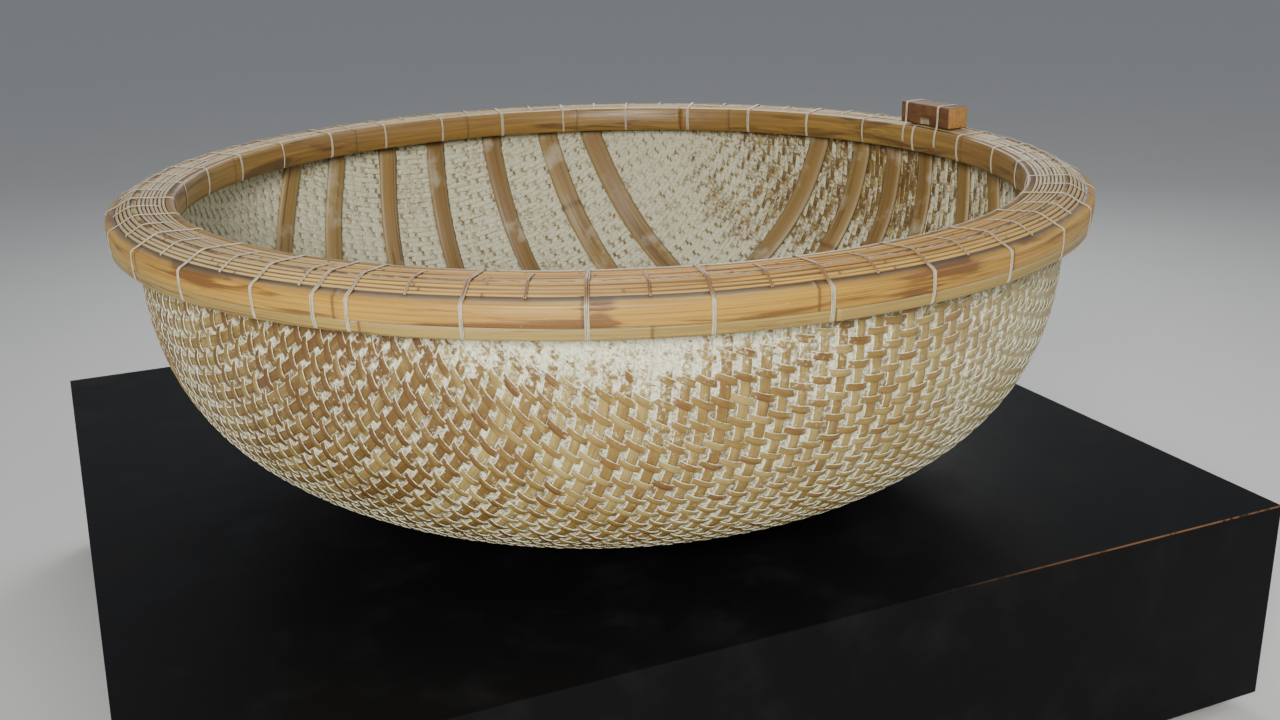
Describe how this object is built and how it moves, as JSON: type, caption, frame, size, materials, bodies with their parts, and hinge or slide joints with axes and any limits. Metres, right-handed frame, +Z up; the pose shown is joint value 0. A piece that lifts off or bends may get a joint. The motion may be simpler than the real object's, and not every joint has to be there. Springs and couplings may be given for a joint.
{
  "type": "woven bamboo basket boat (coracle) on a display plinth",
  "caption": "Round woven-bamboo basket boat with a lashed bamboo rim, inner ribs and an oar block, standing on a low black plinth.",
  "frame": {"origin": "on the floor under the middle of the plinth's base", "axes": "+Z up; the plinth's front panel faces -Y and +X runs along it to the right; the boat's own axis is vertical at x = -15 mm, y = -165 mm"},
  "size_m": [2.15, 2.0861, 1.1611],
  "materials": {
    "woven_bamboo": "split bamboo strips with worn white lime in the weave, matt",
    "hoop_bamboo": "smooth bamboo skin, satin, stained and scuffed",
    "lath_bamboo": "split bamboo edges, satin",
    "rib_bamboo": "weathered bamboo slats, matt",
    "lashing_line": "pale translucent line",
    "block_wood": "reddish-brown hardwood, worn",
    "plinth_black": "matt black paint on board"
  },
  "bodies": {
    "root": {"hull": "woven_bamboo", "outer_hoop_band": "hoop_bamboo", "outer_hoop_lath": "hoop_bamboo", "inner_hoop": "hoop_bamboo", "outer_laths": "lath_bamboo", "inner_laths": "lath_bamboo", "long_lashings": "lashing_line", "short_lashings": "lashing_line", "block_lashings": "lashing_line", "oar_block": "block_wood", "rib_a1": "rib_bamboo", "rib_a2": "rib_bamboo", "rib_a3": "rib_bamboo", "rib_a4": "rib_bamboo", "rib_a5": "rib_bamboo", "rib_a6": "rib_bamboo", "rib_a7": "rib_bamboo", "rib_b1": "rib_bamboo", "rib_b2": "rib_bamboo", "rib_b3": "rib_bamboo", "rib_b4": "rib_bamboo", "rib_b5": "rib_bamboo", "rib_b6": "rib_bamboo", "rib_b7": "rib_bamboo", "plinth_top": "plinth_black", "plinth_front": "plinth_black", "plinth_back": "plinth_black", "plinth_left": "plinth_black", "plinth_right": "plinth_black", "plinth_floor": "plinth_black", "base_front": "plinth_black", "base_back": "plinth_black", "base_left": "plinth_black", "base_right": "plinth_black", "base_bearer": "plinth_black"}
  },
  "joints": []
}
